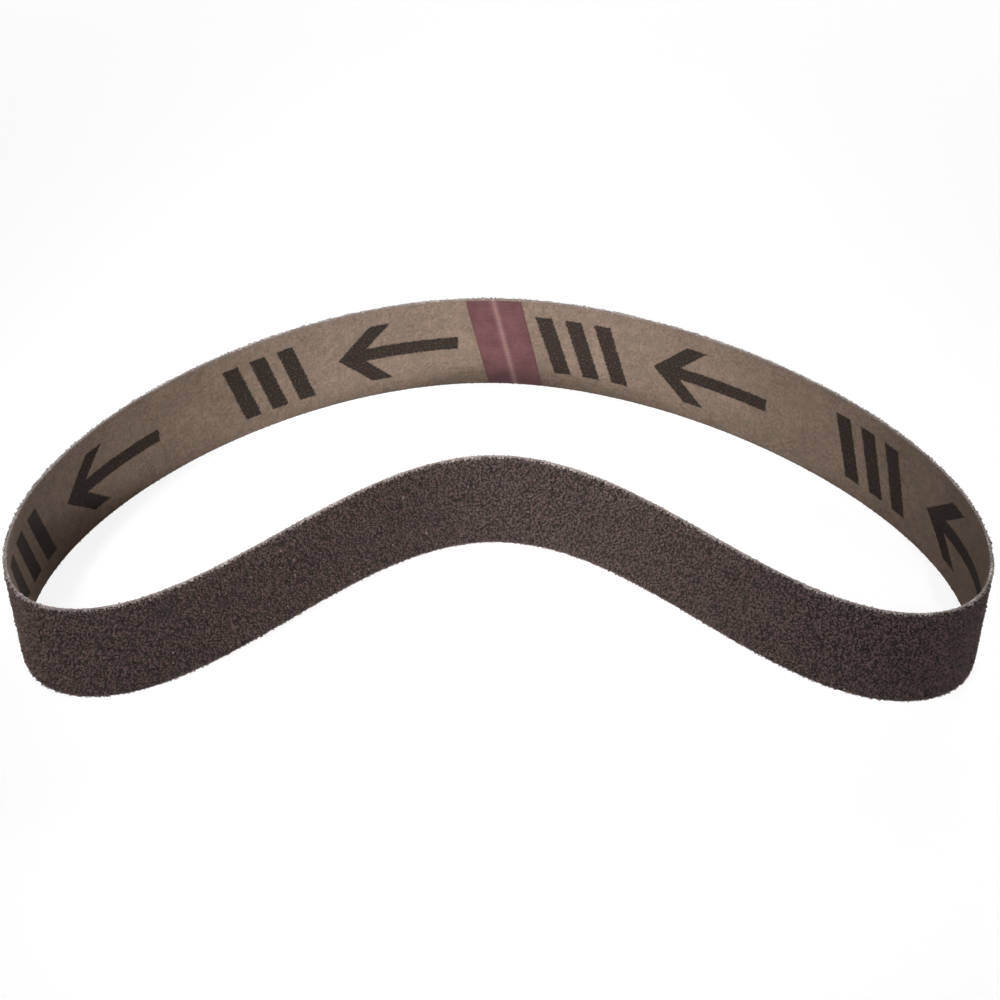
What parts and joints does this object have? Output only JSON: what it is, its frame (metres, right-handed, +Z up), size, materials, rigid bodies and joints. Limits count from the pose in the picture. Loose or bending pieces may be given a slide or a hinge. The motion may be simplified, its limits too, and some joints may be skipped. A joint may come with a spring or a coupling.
{
  "type": "sanding belt",
  "caption": "Narrow endless sanding belt of grit-coated cloth with a taped slanted butt seam, standing on its edge in a relaxed kidney-shaped loop.",
  "frame": {"origin": "centre of the loop's outline at floor level, where its lower slit edge stands", "axes": "+X along the loop's longer extent, from its left end to its right end; +Y from the front, which is bowed inwards, to the back; +Z up along the belt's width"},
  "size_m": [0.2006, 0.1054, 0.025],
  "materials": {
    "woven_cloth": "tan resin-filled twill cloth, matt, with pale frayed yarns at its slit edges",
    "brown_grit": "closed coat of broken brown abrasive grains in dark resin, rough and matt with small glints",
    "film_tape": "thin pinkish-red reinforced film, satin"
  },
  "bodies": {
    "root": {"cloth_backing": "woven_cloth", "abrasive_coat": "brown_grit", "splice_tape": "film_tape"}
  },
  "joints": []
}
